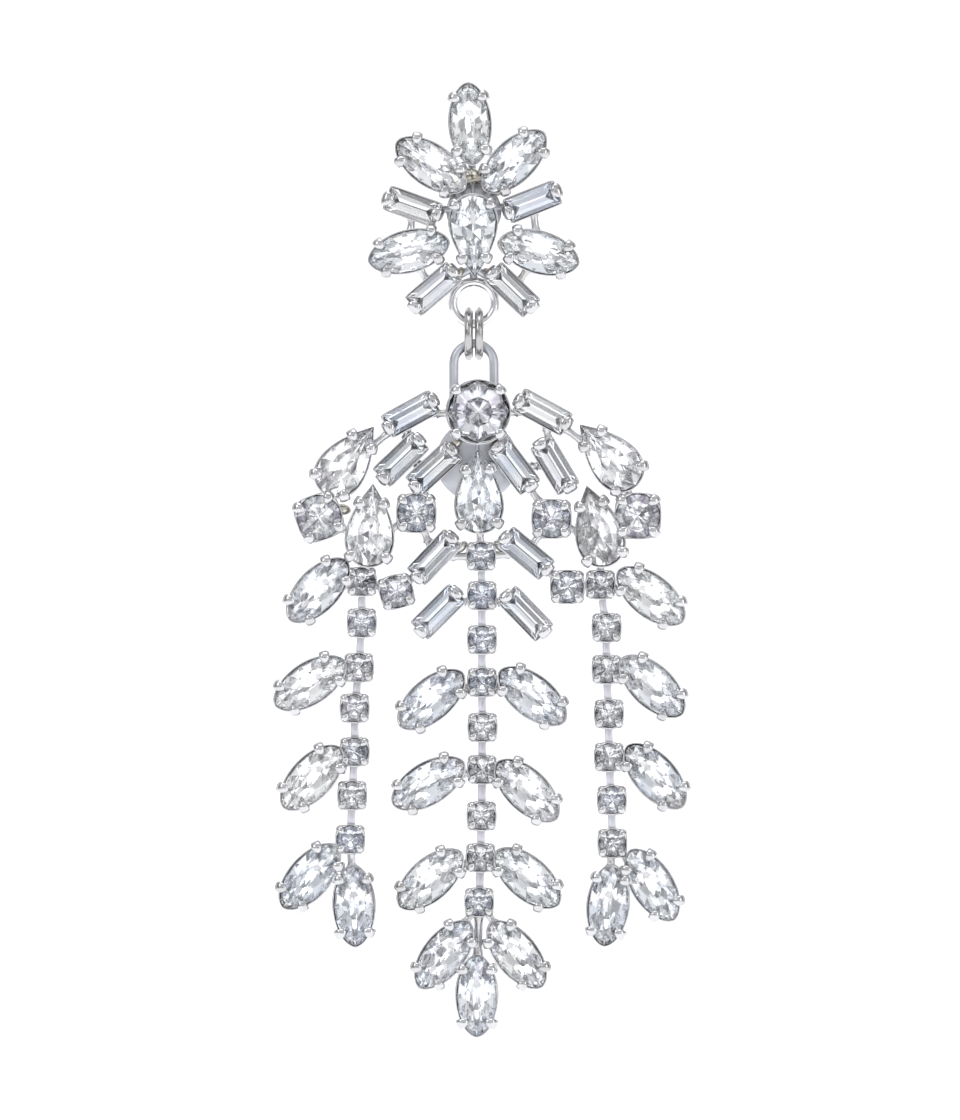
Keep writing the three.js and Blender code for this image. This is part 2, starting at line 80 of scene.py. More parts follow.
# Settings in mm: the pressed cup under each stone and the prongs folded over it
setting = dict(gap=0.06, wall=0.18, floor=0.35, floorShare=0.8, floorBevel=0.05, waistShare=0.93,
               shoulder=-0.3, shoulderShare=0.99, rim=0.06, rimRound=0.05, kneeAcross=0.4, kneeDown=0.3,
               innerKnee=0.6, pocketShare=0.12, boxPower=0.16, boxEndSlope=0.5)
prong = dict(halfWidth=0.56, halfThick=0.23, thinShare=0.6, sides=12,
             path=[(0.1, -1.0), (0.32, -0.55), (0.48, -0.1), (0.48, 0.2), (0.32, 0.46),
                   (0.04, 0.6), (-0.24, 0.6), (-0.48, 0.5)],
             widths=[0.55, 0.75, 0.92, 1.0, 1.0, 0.97, 0.8, 0.42])
# Degrees round the edge; the pear's are a share of the way round its edge and the way that they face
prongSpots = dict(marquise=(48, 132, 228, 312), round=(45, 135, 225, 315), pearTip=(0.11, 125),
                  pearEnd=(0.155, 63), baguetteAside=0.15)
cupSquare = dict(power=5, flatShare=0.975, amount=0.72)      # how square the small round stones' cups are
prongSizes = dict(marquise=(1.0, 1.0, 1.0), pear=(1.0, 1.0, 1.05), baguette=(0.95, 0.8, 1.35),
                  largeRound=(0.9, 1.1, 1.1), outerRound=(1.05, 0.95, 0.95), innerRound=(0.95, 0.9, 0.85),
                  lowRound=(0.85, 0.85, 0.76), cupRound=(0.8, 0.8, 0.66))

# Name, cut, right and up in mm from the post, and the turn in degrees from right
studStones = [
    ("marquise_top", "marquise", -0.4, 8.8, 93.5),
    ("marquise_upper_left", "marquise", -4.5, 4.5, 145),
    ("marquise_upper_right", "marquise", 4.2, 4.9, 44),
    ("marquise_lower_left", "marquise", -6.8, -4.5, 194.5),
    ("marquise_lower_right", "marquise", 6.8, -4.6, -17),
    ("baguette_left", "baguette", -6.4, 0.2, 160.5),
    ("baguette_right", "baguette", 6.1, 0.7, 21.5),
    ("baguette_lower_left", "baguette", -4.2, -8.4, 220.5),
    ("baguette_lower_right", "baguette", 4.0, -8.5, -44),
    ("pear", "pear", -0.1, -1.1, -88),
]
dropStones = [
    ("round_large", "largeRound", 0.45, -21.25, 0),
    ("baguette_top_left", "baguette", -6.6, -21.45, 208.5),
    ("baguette_top_right", "baguette", 7.2, -21.25, -28.5),
    ("baguette_outer_left", "baguette", -7.6, -26.15, 224),
    ("baguette_outer_right", "baguette", 8.45, -26.85, -59),
    ("baguette_inner_left", "baguette", -4.2, -27.1, 222.5),
    ("baguette_inner_right", "baguette", 4.2, -26.9, -53),
    ("baguette_lower_left", "baguette", -4.1, -36.4, 226.5),
    ("baguette_lower_right", "baguette", 5.45, -36.0, -40),
    ("pear_centre", "pear", 0.55, -31.4, 91.7),
    ("pear_outer_left", "pear", -14.15, -27.7, 53),
    ("pear_outer_right", "pear", 15.2, -27.1, 132.5),
    ("pear_lower_left", "pear", -10.9, -34.9, 86.5),
    ("pear_lower_right", "pear", 13.3, -34.9, 104.5),
    ("round_outer_left", "outerRound", -16.15, -32.25, 20),
    ("round_outer_right", "outerRound", 17.1, -32.1, 0),
    ("round_inner_left", "innerRound", -6.0, -31.8, 0),
    ("round_inner_right", "innerRound", 8.1, -32.4, 0),
    ("round_lower_left", "lowRound", -8.1, -40.0, 15),
    ("round_lower_right", "lowRound", 9.75, -39.5, 0),
    ("cup_centre", "cupRound", 0.75, -36.3, 0),
    ("cup_left", "cupRound", -11.7, -38.95, 0),
    ("cup_right", "cupRound", 13.2, -39.25, 0),
    ("marquise_left", "marquise", -16.25, -39.85, 226.5),
    ("marquise_right", "marquise", 18.45, -40.45, -38.5),
]
lifted = {"pear": 0.5}      # mm that a stone sits higher than the others

# Strands: cups from the top down, then the stones soldered beside them, each at the cup of that number
strands = {
    "centre_strand": dict(
        hangsFrom="cup_centre",
        cups=[(0.85, -40.4), (0.85, -45.0), (0.85, -49.45), (0.9, -54.15),
              (0.85, -58.55), (0.8, -63.4), (0.7, -67.75), (0.55, -72.4)],
        leaves=[(1, "baguette", -3.7, -42.1, 225), (1, "baguette", 5.4, -42.3, -46),
                (3, "marquise", -4.45, -51.25, 220.5), (3, "marquise", 6.1, -50.9, -38.5),
                (5, "marquise", -4.75, -60.0, 211), (5, "marquise", 5.55, -60.75, -44),
                (7, "marquise", -4.55, -70.0, 221.5), (7, "marquise", 5.6, -69.85, -41),
                (8, "marquise", -3.1, -77.85, 232), (8, "marquise", 4.45, -77.85, -51),
                (8, "marquise", 0.3, -82.15, -90)]),
    "left_strand": dict(
        hangsFrom="cup_left",
        cups=[(-11.7, -43.25), (-12.0, -47.9), (-12.45, -52.15),
              (-12.45, -56.7), (-12.7, -61.25), (-12.9, -65.85)],
        leaves=[(2, "marquise", -17.1, -49.55, 213), (4, "marquise", -16.9, -59.4, 227),
                (6, "marquise", -17.1, -69.7, 228.5), (6, "marquise", -12.5, -72.75, -88)]),
    "right_strand": dict(
        hangsFrom="cup_right",
        cups=[(13.85, -43.75), (13.85, -48.1), (14.1, -52.75),
              (14.1, -57.25), (14.4, -61.75), (14.45, -66.25)],
        leaves=[(2, "marquise", 18.6, -49.85, -43), (4, "marquise", 18.9, -59.25, -47.5),
                (6, "marquise", 18.6, -70.6, -58), (6, "marquise", 14.0, -72.7, -96)]),
}

# Backing in mm: wires, discs and webs of solder that hold the settings together
backing = dict(wire=0.42, wireOut=-0.2, wireSides=12, discLow=-0.6, discHigh=0.15, discRound=0.12,
               discSides=64, webOut=0.5, webBite=0.3, webHigh=0.95, webWide=1.25, waist=0.6, webThin=0.8)
# Heaps of solder: right, up, out, turn in degrees, and half sizes
studHeaps = [(-0.3, 3.7, 1.1, 0, (0.9, 0.9, 0.6)), (0.45, 3.1, 1.0, 30, (0.8, 0.9, 0.6)),
             (-0.7, 2.9, 0.9, 10, (0.8, 0.9, 0.6)), (1.4, 2.7, 0.7, -30, (0.8, 0.8, 0.6)),
             (-1.7, 2.6, 0.7, 30, (0.8, 0.8, 0.6)),
             (-2.3, 1.9, 0.5, 40, (0.9, 0.6, 0.6)), (2.2, 2.1, 0.5, -40, (0.9, 0.6, 0.6)),
             (-3.1, -3.9, 0.4, 60, (0.9, 0.6, 0.5)), (3.0, -4.0, 0.4, -60, (0.9, 0.6, 0.5)),
             (-1.6, -6.7, 0.4, 50, (0.8, 0.6, 0.5)), (1.5, -6.8, 0.4, -50, (0.8, 0.6, 0.5))]
dropHeaps = [(-1.9, -24.6, 0.5, 40, (0.9, 0.6, 0.5)), (2.5, -24.6, 0.5, -40, (0.9, 0.6, 0.5)),
             (-13.7, -31.4, 0.5, 80, (0.6, 0.6, 0.9)), (-1.3, -35.3, 0.5, 40, (0.8, 0.6, 0.5)),
             (2.7, -35.2, 0.5, -40, (0.8, 0.6, 0.5))]
studHub = dict(right=0.0, up=-0.2, radius=2.9, tipBelowPear=5)
backDisc = dict(right=0.3, up=-26.3, radius=4.3)
studWires = [
    ("hub", "marquise_top"), ("hub", "marquise_upper_left"), ("hub", "marquise_upper_right"),
    ("hub", "baguette_left"), ("hub", "baguette_right"),
    ("baguette_left", "marquise_lower_left"), ("baguette_right", "marquise_lower_right"),
    ("marquise_lower_left", "baguette_lower_left"), ("marquise_lower_right", "baguette_lower_right"),
    ("baguette_lower_left", "pear_tip"), ("baguette_lower_right", "pear_tip"),
    ("hub", "pear_tip"), ("pear_tip", "ring_top"),
]
dropWires = [("round_large", "disc"), ("disc", "pear_centre"), ("pear_centre", "cup_centre")]
dropWiresBothSides = [
    ("round_large", "baguette_top"), ("disc", "baguette_inner"), ("baguette_top", "baguette_outer"),
    ("baguette_top", "pear_outer"), ("baguette_outer", "baguette_inner"), ("baguette_inner", "round_inner"),
    ("pear_outer", "round_outer"), ("round_outer", "pear_lower"), ("round_inner", "pear_lower"),
    ("round_inner", "baguette_lower"), ("cup_centre", "baguette_lower"), ("baguette_lower", "round_lower"),
    ("round_lower", "cup"), ("pear_lower", "cup"), ("cup", "marquise"),
]

# Rings, bail and ear post in mm
rings = dict(out=-0.1, sides=18, steps=72)
studRing = dict(right=0.0, up=-9.8, radius=2.2, wire=0.5)
bail = dict(right=0.0, up=-16.15, radius=2.1, wire=0.5, legs=5.35, steps=32)
jumpRings = dict(radius=2.325, wire=0.45, apart=1.1, up=-13.025)
connector = dict(width=0.85, low=0.3, high=0.9, edge=0.12, strandGap=0.15, bite=0.2)
earPost = dict(radius=0.45, length=11.0, padRadius=2.6, padThick=0.6, edge=0.12, fillet=0.24, grooveAt=9.6,
               grooveDepth=0.1, grooveWidth=0.5, grooveSlope=0.3, sides=48, tip=0.35,
               tipShares=[(1.0, 1.0), (0.8, 0.4), (0.45, 0.1), (0.15, 0.0)])


# Places: a point of the face (right, up, out towards the viewer) in mm, in the frame's metres
def facePoint(right, up, out):
    return Vector((right, -(faceDepth + out), up)) * mm


def seatHeight(kind, name=""):
    return setting["floor"] + setting["gap"] + cuts[kind]["pavilion"] + lifted.get(name, 0.0)


def turned(x, y, turn):
    angle = math.radians(turn)
    return x * math.cos(angle) - y * math.sin(angle), x * math.sin(angle) + y * math.cos(angle)


# A value raised to a power with its sign kept
def powered(value, power):
    return math.copysign(abs(value) ** power, value)


# Outlines: a point of a stone's edge at t from 0 to 1, grown by grow mm
def edgePoint(kind, t, grow=0.0):
    cut = cuts[kind]
    angle = 2 * math.pi * t
    sine = math.sin(angle)
    if kind == "marquise":
        across = powered(sine, cut["fullness"])
        return (cut["length"] / 2 + grow) * math.cos(angle), (cut["width"] / 2 + grow) * across
    if kind == "pear":
        middle = (cut["tip"] - cut["radius"]) / 2
        reach = (cut["tip"] + cut["radius"]) / 2 + grow
        widest = 0.77        # the largest value of sin(a) * sin(a / 2)
        across = (cut["radius"] + grow) / widest * sine * abs(math.sin(angle / 2))
        return middle + reach * math.cos(angle), across
    radius = cut["radius"] + grow
    return radius * math.cos(angle), radius * sine


def middleOf(kind):
    return (cuts[kind]["tip"] - cuts[kind]["radius"]) / 3 if kind == "pear" else 0.0


def sharePoint(kind, t, share, grow=0.0):
    x, y = edgePoint(kind, t, grow)
    middle = middleOf(kind)
    return middle + (x - middle) * share, y * share


# Meshes: corners are (x, y, out) in mm round a stone's or part's own middle
def meshFrom(name, corners, faces):
    mesh = bpy.data.meshes.new(name)
    mesh.from_pydata([Vector((x, -out, y)) * mm for x, y, out in corners], [], faces)
    shape = bmesh.new()
    shape.from_mesh(mesh)
    bmesh.ops.remove_doubles(shape, verts=shape.verts, dist=tiny * 10)
    bmesh.ops.dissolve_degenerate(shape, edges=shape.edges, dist=tiny)
    bmesh.ops.recalc_face_normals(shape, faces=shape.faces)
    shape.to_mesh(mesh)
    shape.free()
    return mesh


# Cosine and sine of equal steps once round
def around(count):
    return [(math.cos(2 * math.pi * i / count), math.sin(2 * math.pi * i / count)) for i in range(count)]


# Walls between rows of corners, closed at both ends
def ringFaces(rows, count):
    faces = []
    for row in range(rows - 1):
        for i in range(count):
            here = row * count + i
            after = row * count + (i + 1) % count
            faces.append((here, after, after + count, here + count))
    faces.append(tuple(range(count))[::-1])
    faces.append(tuple(range((rows - 1) * count, rows * count)))
    return faces


# A brilliant: table, stars, kites and halves above, mains and halves below, on any rounded outline
def brilliantShape(kind):
    cut = cuts[kind]
    mains = cut["mains"]
    rise, drop = cut["crown"], cut["pavilion"]
    starOut, lowerOut = rise * facets["starHeight"], -drop * facets["lowerDepth"]
    middle = middleOf(kind)
    corners = []
    for i in range(mains):
        corners.append((*sharePoint(kind, i / mains, cut["table"]), rise))
    for i in range(mains):
        corners.append((*sharePoint(kind, (i + 0.5) / mains, facets["starShare"]), starOut))
    for side in (1, -1):
        for i in range(2 * mains):
            corners.append((*edgePoint(kind, i / 2 / mains), side * facets["girdle"]))
    for i in range(mains):
        corners.append((*sharePoint(kind, (i + 0.5) / mains, facets["lowerShare"]), lowerOut))
    for i in range(mains):
        x, _ = edgePoint(kind, i / mains)
        corners.append((middle + (x - middle) * cut["keel"], 0.0, -drop))
    star, high, low, lower, keel = mains, 2 * mains, 4 * mains, 6 * mains, 7 * mains
    faces = [tuple(range(mains))]
    for i in range(mains):
        j = (i + 1) % mains
        before = (i - 1) % mains
        here, half, after = 2 * i, 2 * i + 1, 2 * j
        faces.append((i, star + i, j))
        faces.append((i, star + before, high + here, star + i))
        faces.append((star + i, high + here, high + half))
        faces.append((star + i, high + half, high + after))
        faces.append((high + here, low + here, low + half, high + half))
        faces.append((high + half, low + half, low + after, high + after))
        faces.append((low + here, lower + i, low + half))
        faces.append((low + half, lower + i, low + after))
        faces.append((low + here, lower + before, keel + i, lower + i))
        faces.append((lower + i, keel + i, keel + j))
    return corners, faces


# A round stone: a table, three triangles to each of its mains, and wedges to the point behind; a low edge
# under 1 pulls every second corner inwards, so that neighbouring wedges lean opposite ways
def wedgeShape(kind):
    cut = cuts[kind]
    mains = cut["mains"]
    corners = [(*sharePoint(kind, i / mains, cut["table"]), cut["crown"]) for i in range(mains)]
    for i in range(2 * mains):
        corners.append((*edgePoint(kind, i / 2 / mains), facets["girdle"]))
    for i in range(2 * mains):
        share = cut["lowEdge"] if i % 2 else 1.0
        corners.append((*sharePoint(kind, i / 2 / mains, share), -facets["girdle"]))
    corners.append((0.0, 0.0, -cut["pavilion"]))
    high, low, point = mains, 3 * mains, 5 * mains
    faces = [tuple(range(mains))]
    for i in range(mains):
        here, before, after = 2 * i, (2 * i - 1) % (2 * mains), (2 * i + 1) % (2 * mains)
        faces.append((i, high + before, high + here))
        faces.append((i, high + here, high + after))
        faces.append((i, high + after, (i + 1) % mains))
    for i in range(2 * mains):
        j = (i + 1) % (2 * mains)
        faces.append((high + i, low + i, low + j, high + j))
        faces.append((low + i, point, low + j))
    return corners, faces


# A rectangle of half sizes x and y with cut corners
def cutRectangle(x, y, cut):
    return [(x, y - cut), (x - cut, y), (cut - x, y), (-x, y - cut),
            (-x, cut - y), (cut - x, -y), (x - cut, -y), (x, cut - y)]


# A step cut: a long table with level steps round it, down to a keel along the back
def stepShape():
    cut = cuts["baguette"]
    steps = baguetteSteps
    rows = [
        (steps["keelEnd"], steps["keelSide"], -cut["pavilion"]),
        (0.0, 0.0, -facets["girdle"]),
        (0.0, 0.0, facets["girdle"]),
        (steps["tableEnd"], steps["tableSide"], cut["crown"]),
    ]
    corners = []
    for insetEnd, insetSide, out in rows:
        x, y = cut["length"] / 2 - insetEnd, cut["width"] / 2 - insetSide
        corners += [(*point, out) for point in cutRectangle(x, y, min(steps["corner"], y / 2))]
    return corners, ringFaces(len(rows), 8)


stoneShapes = {kind: wedgeShape(kind) for kind in cuts if kind.endswith("Round")}
stoneShapes.update(baguette=stepShape(), marquise=brilliantShape("marquise"), pear=brilliantShape("pear"))
seatRandom = random.Random(facets["seed"])


# Every second wedge behind a round stone has the greyer foil: painted shade that stands in for the dark
# wedges of reflection that the stones show
def paintedShadeWedge(kind, centre):
    wide = 180 / cuts[kind]["mains"]
    return int(math.degrees(math.atan2(centre.z, centre.x)) // wide) % 2 == 1


# Round stones also carry the greyer foil, which is painted shade on alternate wedges
def stoneFinish(kind):
    foils = ["mirrorFoil", "paintedShadeFoil"] if kind.endswith("Round") else ["mirrorFoil"]
    return [finish[name] for name in ["clearCrystal"] + foils]


# One stone in its place: crystal above the girdle, mirror foil on the back facets, and on every second back
# wedge of a round stone a greyer foil of painted shade
def stoneMesh(name, kind, right, up, turn):
    corners, faces = stoneShapes[kind]
    mesh = meshFrom(name, corners, faces)
    for face in mesh.polygons:
        behind = face.center.y > facets["girdle"] * mm / 2
        face.material_index = 0
        if behind:
            face.material_index = 2 if kind.endswith("Round") and paintedShadeWedge(kind, face.center) else 1
    most = facets["boxRoll"] if kind == "baguette" else facets["roll"]
    roll = math.radians(seatRandom.uniform(-1, 1) * most)
    pitch = math.radians(seatRandom.uniform(-1, 1) * facets["pitch"])
    place = Matrix.Translation(facePoint(right, up, seatHeight(kind, name)))
    place @= Matrix.Rotation(-math.radians(turn), 4, "Y")
    place @= Matrix.Rotation(roll, 4, "X") @ Matrix.Rotation(pitch, 4, "Z")
    mesh.transform(place)
    return mesh


# The setting under a stone: floor, sloping wall, rounded rim and the pocket for the stone
def settingCorners(kind, name=""):
    outer = setting["gap"] + setting["wall"]
    gap, rim, soft = setting["gap"], setting["rim"], setting["rimRound"]
    across, down = soft * setting["kneeAcross"], soft * setting["kneeDown"]
    inner = soft * setting["innerKnee"]
    seat = seatHeight(kind, name)
    rows = [
        (outer, setting["floorShare"] - setting["floorBevel"], -seat),
        (outer, setting["floorShare"], -seat + soft),
        (outer, setting["waistShare"], -seat / 2),
        (outer, setting["shoulderShare"], setting["shoulder"]),
        (outer, 1.0, rim - soft),
        (outer - across, 1.0, rim - down),
        (outer - soft, 1.0, rim),
        (gap + inner, 1.0, rim),
        (gap, 1.0, rim - inner),
        (gap, 1.0, -gap),
        (gap, setting["pocketShare"], -cuts[kind]["pavilion"] - gap),
    ]
    corners = []
    for grow, share, out in rows:
        for i in range(settingSteps):
            corners.append((*settingPoint(kind, i / settingSteps, share, grow), out))
    return corners, ringFaces(len(rows), settingSteps)


# A setting's outline: rounds sit in cups with softly squared corners, baguettes in rounded boxes
def settingPoint(kind, t, share, grow):
    if kind == "baguette":
        cut = cuts[kind]
        angle = 2 * math.pi * t
        power = setting["boxPower"]
        x = powered(math.cos(angle), power) * (cut["length"] / 2 + grow)
        y = powered(math.sin(angle), power) * (cut["width"] / 2 + grow)
        return x * (1 - (1 - share) * setting["boxEndSlope"]), y * share
    if kind in ("marquise", "pear"):
        return sharePoint(kind, t, share, grow)
    x, y = sharePoint(kind, t, share, grow)
    if kind == "largeRound" or grow <= setting["gap"]:
        return x, y
    angle = 2 * math.pi * t
    power = cupSquare["power"]
    corner = (abs(math.cos(angle)) ** power + abs(math.sin(angle)) ** power) ** (-1 / power)
    squaring = cupSquare["flatShare"] * (1 + (corner - 1) * cupSquare["amount"])
    return x * squaring, y * squaring


# Prong places on a stone's edge, with the way each faces in degrees
def prongPlaces(kind):
    cut = cuts[kind]
    if kind == "marquise":
        places = []
        for degrees in prongSpots["marquise"]:
            x, y = edgePoint(kind, degrees / 360)
            places.append((x, y, math.degrees(math.atan2(y / cut["width"] ** 2, x / cut["length"] ** 2))))
        return places
    if kind == "pear":
        places = []
        tipShare, tipFacing = prongSpots["pearTip"]
        endShare, endFacing = prongSpots["pearEnd"]
        for side in (1, -1):
            places.append((*edgePoint(kind, 0.5 - side * tipShare), side * tipFacing))
            places.append((*edgePoint(kind, side * endShare), side * endFacing))
        return places
    if kind == "baguette":
        end, aside = cut["length"] / 2, prongSpots["baguetteAside"]
        return [(end, aside, 0), (-end, -aside, 180)]
    return [(*edgePoint(kind, degrees / 360), degrees) for degrees in prongSpots["round"]]


# A prong: a flat strip that runs up the wall and folds over the stone with a rounded end
def prongShape():
    corners = []
    path, sides, thinShare = prong["path"], prong["sides"], prong["thinShare"]
    for k, (reach, out) in enumerate(path):
        before, after = path[max(k - 1, 0)], path[min(k + 1, len(path) - 1)]
        run = Vector((after[0] - before[0], after[1] - before[1])).normalized()
        narrow = prong["widths"][k]
        for cosine, sine in around(sides):
            thick = prong["halfThick"] * sine * (thinShare + (1 - thinShare) * narrow)
            across = prong["halfWidth"] * narrow * cosine
            corners.append((reach - run.y * thick, across, out + run.x * thick))
    return corners, ringFaces(len(path), sides)


# A soft-edged block of unit length and width, for connectors
def blockShape(edge):
    corners = []
    for inset, out in ((edge, -0.5), (0.0, edge - 0.5), (0.0, 0.5 - edge), (edge, 0.5)):
        shrink = 1 - 2 * inset
        corners += [(x * shrink, y * shrink, out) for x, y in cutRectangle(0.5, 0.5, edge)]
    return corners, ringFaces(4, 8)


def ballShape(rows=8, sides=14):
    corners = []
    for row in range(1, rows):
        lean = math.pi * row / rows
        reach = math.sin(lean)
        corners += [(reach * cosine, reach * sine, -math.cos(lean)) for cosine, sine in around(sides)]
    return corners, ringFaces(rows - 1, sides)


# A waisted bridge of unit length and width, wide at both ends where it meets the settings
def webShape(stations=9, sides=12):
    corners = []
    for k in range(stations):
        x = k / (stations - 1) - 0.5
        flare = (2 * x) ** 2
        wide = backing["waist"] + (1 - backing["waist"]) * flare
        thick = backing["webThin"] + (1 - backing["webThin"]) * flare
        corners += [(x, wide / 2 * cosine, thick / 2 * sine) for cosine, sine in around(sides)]
    return corners, ringFaces(stations, sides)


# Discs and posts are turned: a profile of (radius, height) rows round the axis towards the viewer
def turnedShape(profile, sides):
    corners = []
    for radius, out in profile:
        corners += [(radius * cosine, radius * sine, out) for cosine, sine in around(sides)]
    return corners, ringFaces(len(profile), sides)


# Objects and nodes
def sceneObject(name, mesh):
    thing = bpy.data.objects.new(name, mesh)
    bpy.context.scene.collection.objects.link(thing)
    return thing


# A node group with named sockets: the group, what its start gives and what its end takes
def nodeGroup(name, kind, inputs, outputs):
    group = bpy.data.node_groups.new(name, kind)
    for side, sockets in (("INPUT", inputs), ("OUTPUT", outputs)):
        for label, socket in sockets.items():
            group.interface.new_socket(label, in_out=side, socket_type="NodeSocket" + socket)
    return group, group.nodes.new("NodeGroupInput").outputs, group.nodes.new("NodeGroupOutput").inputs


def setInputs(node, values):
    for name, value in values.items():
        node.inputs[name].default_value = value
    return node


def readAttribute(tree, name, kind):
    node = setInputs(tree.nodes.new("GeometryNodeInputNamedAttribute"), {"Name": name})
    node.data_type = kind
    return next(out for out in node.outputs if out.enabled and out.name == "Attribute")


# A geometry tree whose end makes plain mesh of what it is given and puts the finish on
def growthTree(name, inputs):
    tree, start, end = nodeGroup(name, "GeometryNodeTree", inputs, {"Result": "Geometry"})
    solid = tree.nodes.new("GeometryNodeRealizeInstances")
    finish = tree.nodes.new("GeometryNodeSetMaterial")
    tree.links.new(solid.outputs[0], finish.inputs["Geometry"])
    tree.links.new(start["Finish"], finish.inputs["Material"])
    tree.links.new(finish.outputs[0], end[0])
    return tree, start, solid.inputs[0]


# Copies of one part on points; each point carries its turn and its size
def copiesTree():
    inputs = {"Places": "Geometry", "Part": "Object", "Finish": "Material"}
    tree, start, end = growthTree("copiesOnPoints", inputs)
    link = tree.links.new
    part = tree.nodes.new("GeometryNodeObjectInfo")
    place = tree.nodes.new("GeometryNodeInstanceOnPoints")
    euler = tree.nodes.new("ShaderNodeCombineXYZ")
    turn = tree.nodes.new("FunctionNodeEulerToRotation")
    link(start["Part"], part.inputs["Object"])
    link(readAttribute(tree, "turn", "FLOAT"), euler.inputs["Y"])
    link(euler.outputs[0], turn.inputs[0])
    link(start["Places"], place.inputs["Points"])
    link(part.outputs["Geometry"], place.inputs["Instance"])
    link(turn.outputs[0], place.inputs["Rotation"])
    link(readAttribute(tree, "size", "FLOAT_VECTOR"), place.inputs["Scale"])
    link(place.outputs[0], end)
    return tree


# Round wire along a path
def wireTree():
    inputs = {"Path": "Geometry", "Radius": "Float", "Sides": "Int", "Finish": "Material"}
    tree, start, end = growthTree("roundWire", inputs)
    link = tree.links.new
    curve = tree.nodes.new("GeometryNodeMeshToCurve")
    section = tree.nodes.new("GeometryNodeCurvePrimitiveCircle")
    sweep = setInputs(tree.nodes.new("GeometryNodeCurveToMesh"), {"Fill Caps": True})
    link(start["Path"], curve.inputs[0])
    link(start["Sides"], section.inputs["Resolution"])
    link(start["Radius"], section.inputs["Radius"])
    link(curve.outputs[0], sweep.inputs["Curve"])
    link(section.outputs[0], sweep.inputs["Profile Curve"])
    link(sweep.outputs[0], end)
    return tree


trees = {"copies": copiesTree(), "wire": wireTree()}


# Runs a tree on a mesh and gives its result as a plain mesh
def grown(mesh, tree, values):
    carrier = sceneObject("carrier", mesh)
    modifier = carrier.modifiers.new("growth", "NODES")
    modifier.node_group = trees[tree]
    for item in trees[tree].interface.items_tree:
        if item.name in values:
            modifier[item.identifier] = values[item.name]
    result = bpy.data.meshes.new_from_object(carrier.evaluated_get(bpy.context.evaluated_depsgraph_get()))
    carrier.modifiers.remove(modifier)
    bpy.data.objects.remove(carrier)
    return result


def copies(shape, places, material):
    part = sceneObject("part", meshFrom("part", *shape))
    mesh = bpy.data.meshes.new("places")
    mesh.from_pydata([place for place, _, _ in places], [], [])
    turns = mesh.attributes.new("turn", "FLOAT", "POINT")
    sizes = mesh.attributes.new("size", "FLOAT_VECTOR", "POINT")
    for i, (_, turn, size) in enumerate(places):
        turns.data[i].value = -math.radians(turn)        # about +Y, which points away from the viewer
        sizes.data[i].vector = size
    result = grown(mesh, "copies", {"Part": part, "Finish": material})
    bpy.data.objects.remove(part)
    return result


def wires(paths, radius, sides, material):
    points, edges = [], []
    for path, closed in paths:
        first = len(points)
        points.extend(path)
        edges.extend((first + i, first + i + 1) for i in range(len(path) - 1))
        if closed:
            edges.append((len(points) - 1, first))
    mesh = bpy.data.meshes.new("path")
    mesh.from_pydata(points, edges, [])
    return grown(mesh, "wire", {"Radius": radius * mm, "Sides": sides, "Finish": material})


# One piece from several plain meshes, keeping their materials
def joinedPiece(name, meshes, smoothAngle=None):
    shape = bmesh.new()
    slots = []
    for mesh in meshes:
        numbers = []
        for material in mesh.materials:
            if material not in slots:
                slots.append(material)
            numbers.append(slots.index(material))
        first = len(shape.faces)
        shape.from_mesh(mesh)
        shape.faces.ensure_lookup_table()
        for face in shape.faces[first:]:
            face.material_index = numbers[min(face.material_index, len(numbers) - 1)]
    bmesh.ops.recalc_face_normals(shape, faces=shape.faces)
    whole = bpy.data.meshes.new(name)
    shape.to_mesh(whole)
    shape.free()
    for material in slots:
        whole.materials.append(material)
    for attribute in ("turn", "size"):
        if attribute in whole.attributes:
            whole.attributes.remove(whole.attributes[attribute])
    if smoothAngle:
        whole.shade_smooth()
        whole.set_sharp_from_angle(angle=math.radians(smoothAngle))
    else:
        whole.shade_flat()
    return sceneObject(name, whole)


def withMaterials(mesh, *materials):
    for material in materials:
        mesh.materials.append(material)
    return mesh


# Shared shader groups
def mixed(group, kind, factor, first, second):
    mix = group.nodes.new("ShaderNodeMix")
    mix.data_type = kind
    for value, name in ((factor, "Factor"), (first, "A"), (second, "B")):
        group.links.new(value, mix.inputs[name])
    return mix.outputs["Result"]


def noiseAt(group, scale, detail):
    where = group.nodes.new("ShaderNodeTexCoord")
    noise = setInputs(group.nodes.new("ShaderNodeTexNoise"), {"Scale": scale, "Detail": detail})
    group.links.new(where.outputs["Object"], noise.inputs["Vector"])
    return noise.outputs["Fac"]


def ranged(group, value, fromLow, fromHigh, toLow=0.0, toHigh=1.0):
    limits = {"From Min": fromLow, "From Max": fromHigh, "To Min": toLow, "To Max": toHigh}
    node = setInputs(group.nodes.new("ShaderNodeMapRange"), limits)
    group.links.new(value, node.inputs["Value"])
    return node.outputs["Result"]


# Noise patterns: scale per metre, detail, and the band of the noise that fades from 0 to 1
patterns = dict(patches=(260.0, 3.0, 0.48, 0.72), polish=(900.0, 3.0, 0.35, 0.75),
                cool=(180.0, 1.0, 0.45, 0.65), lilac=(420.0, 1.0, 0.55, 0.75))
waves = dict(scale=1500.0, detail=2.0, depth=0.05)


def patternMask(group, name):
    scale, detail, low, high = patterns[name]
    return ranged(group, noiseAt(group, scale, detail), low, high)


